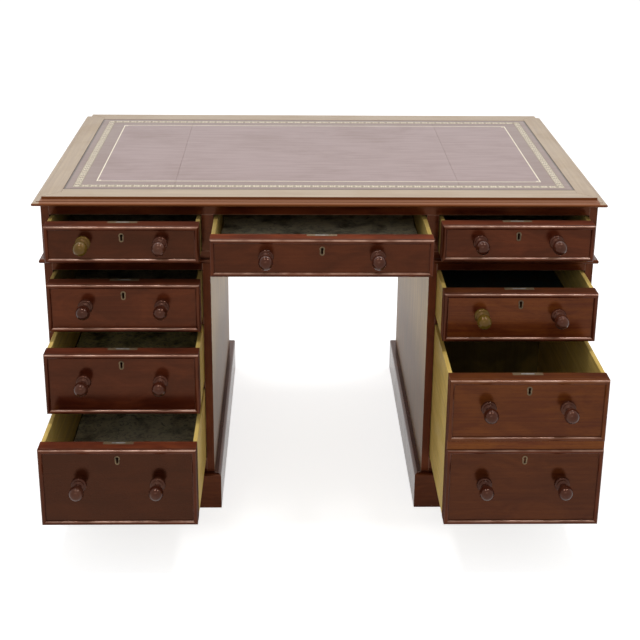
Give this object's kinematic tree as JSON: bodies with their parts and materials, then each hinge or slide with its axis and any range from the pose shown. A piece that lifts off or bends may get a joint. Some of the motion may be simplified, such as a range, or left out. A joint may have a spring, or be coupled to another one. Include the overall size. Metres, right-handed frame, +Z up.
{
  "type": "pedestal desk",
  "caption": "Twin pedestal writing desk with an inset leather top, frieze drawers over a kneehole, graduated pedestal drawers and a double-depth drawer.",
  "frame": {"origin": "on the floor, under the middle of the box round the desk with its drawers open as pictured", "axes": "+X along the desk to the sitter's right, +Y from the sitter's side to the back, +Z up"},
  "size_m": [1.262, 1.1426, 0.77],
  "materials": {
    "mahogany": "polished",
    "oak": "plain",
    "pine": "plain",
    "leather": "tooled",
    "brass": "aged",
    "steel": "worn"
  },
  "bodies": {
    "carcass": {"leather_panels": "leather", "top_ground_panel": "pine", "top_border": "mahogany", "frieze_front_rails": "mahogany", "frieze_end_panels": "mahogany", "frieze_back_panel": "mahogany", "frieze_dividers": "mahogany", "frieze_dust_boards": "pine", "frieze_runners": "oak", "waist_boards": "mahogany", "left_pedestal_sides": "mahogany", "left_pedestal_back": "mahogany", "left_pedestal_rails": "mahogany", "left_pedestal_runners": "oak", "left_plinth": "mahogany", "right_pedestal_sides": "mahogany", "right_pedestal_back": "mahogany", "right_pedestal_rails": "mahogany", "right_pedestal_runners": "oak", "right_plinth": "mahogany"},
    "left_frieze_drawer": {"left_frieze_drawer_front": "mahogany", "left_frieze_drawer_linings": "oak", "left_frieze_drawer_knobs": "mahogany", "left_frieze_drawer_lock": "brass"},
    "left_frieze_drawer_bolt": {"left_frieze_drawer_lock_bolt": "steel"},
    "centre_frieze_drawer": {"centre_frieze_drawer_front": "mahogany", "centre_frieze_drawer_linings": "oak", "centre_frieze_drawer_knobs": "mahogany", "centre_frieze_drawer_lock": "brass"},
    "centre_frieze_drawer_bolt": {"centre_frieze_drawer_lock_bolt": "steel"},
    "right_frieze_drawer": {"right_frieze_drawer_front": "mahogany", "right_frieze_drawer_linings": "oak", "right_frieze_drawer_knobs": "mahogany", "right_frieze_drawer_lock": "brass"},
    "right_frieze_drawer_bolt": {"right_frieze_drawer_lock_bolt": "steel"},
    "left_upper_drawer": {"left_upper_drawer_front": "mahogany", "left_upper_drawer_linings": "oak", "left_upper_drawer_knobs": "mahogany", "left_upper_drawer_lock": "brass"},
    "left_upper_drawer_bolt": {"left_upper_drawer_lock_bolt": "steel"},
    "left_middle_drawer": {"left_middle_drawer_front": "mahogany", "left_middle_drawer_linings": "oak", "left_middle_drawer_knobs": "mahogany", "left_middle_drawer_lock": "brass"},
    "left_middle_drawer_bolt": {"left_middle_drawer_lock_bolt": "steel"},
    "left_lower_drawer": {"left_lower_drawer_front": "mahogany", "left_lower_drawer_linings": "oak", "left_lower_drawer_knobs": "mahogany", "left_lower_drawer_lock": "brass"},
    "left_lower_drawer_bolt": {"left_lower_drawer_lock_bolt": "steel"},
    "right_upper_drawer": {"right_upper_drawer_front": "mahogany", "right_upper_drawer_linings": "oak", "right_upper_drawer_knobs": "mahogany", "right_upper_drawer_lock": "brass"},
    "right_upper_drawer_bolt": {"right_upper_drawer_lock_bolt": "steel"},
    "right_deep_drawer": {"right_deep_drawer_front": "mahogany", "right_deep_drawer_linings": "oak", "right_deep_drawer_knobs": "mahogany", "right_deep_drawer_lock": "brass"},
    "right_deep_drawer_bolt": {"right_deep_drawer_lock_bolt": "steel"}
  },
  "joints": [
    {"name": "left_frieze_drawer_slide", "type": "slide", "parent": "carcass", "child": "left_frieze_drawer", "axis": [0, -1, 0], "range_m": [-0.08, 0.4]},
    {"name": "left_frieze_drawer_bolt_rise", "type": "slide", "parent": "left_frieze_drawer", "child": "left_frieze_drawer_bolt", "axis": [0, 0, 1], "range_m": [0, 0.008]},
    {"name": "centre_frieze_drawer_slide", "type": "slide", "parent": "carcass", "child": "centre_frieze_drawer", "axis": [0, -1, 0], "range_m": [-0.165, 0.315]},
    {"name": "centre_frieze_drawer_bolt_rise", "type": "slide", "parent": "centre_frieze_drawer", "child": "centre_frieze_drawer_bolt", "axis": [0, 0, 1], "range_m": [0, 0.008]},
    {"name": "right_frieze_drawer_slide", "type": "slide", "parent": "carcass", "child": "right_frieze_drawer", "axis": [0, -1, 0], "range_m": [-0.068, 0.412]},
    {"name": "right_frieze_drawer_bolt_rise", "type": "slide", "parent": "right_frieze_drawer", "child": "right_frieze_drawer_bolt", "axis": [0, 0, 1], "range_m": [0, 0.008]},
    {"name": "left_upper_drawer_slide", "type": "slide", "parent": "carcass", "child": "left_upper_drawer", "axis": [0, -1, 0], "range_m": [-0.089, 0.391]},
    {"name": "left_upper_drawer_bolt_rise", "type": "slide", "parent": "left_upper_drawer", "child": "left_upper_drawer_bolt", "axis": [0, 0, 1], "range_m": [0, 0.008]},
    {"name": "left_middle_drawer_slide", "type": "slide", "parent": "carcass", "child": "left_middle_drawer", "axis": [0, -1, 0], "range_m": [-0.166, 0.314]},
    {"name": "left_middle_drawer_bolt_rise", "type": "slide", "parent": "left_middle_drawer", "child": "left_middle_drawer_bolt", "axis": [0, 0, 1], "range_m": [0, 0.008]},
    {"name": "left_lower_drawer_slide", "type": "slide", "parent": "carcass", "child": "left_lower_drawer", "axis": [0, -1, 0], "range_m": [-0.293, 0.187]},
    {"name": "left_lower_drawer_bolt_rise", "type": "slide", "parent": "left_lower_drawer", "child": "left_lower_drawer_bolt", "axis": [0, 0, 1], "range_m": [0, 0.008]},
    {"name": "right_upper_drawer_slide", "type": "slide", "parent": "carcass", "child": "right_upper_drawer", "axis": [0, -1, 0], "range_m": [-0.141, 0.339]},
    {"name": "right_upper_drawer_bolt_rise", "type": "slide", "parent": "right_upper_drawer", "child": "right_upper_drawer_bolt", "axis": [0, 0, 1], "range_m": [0, 0.008]},
    {"name": "right_deep_drawer_slide", "type": "slide", "parent": "carcass", "child": "right_deep_drawer", "axis": [0, -1, 0], "range_m": [-0.296, 0.184]},
    {"name": "right_deep_drawer_bolt_rise", "type": "slide", "parent": "right_deep_drawer", "child": "right_deep_drawer_bolt", "axis": [0, 0, 1], "range_m": [0, 0.008]}
  ]
}
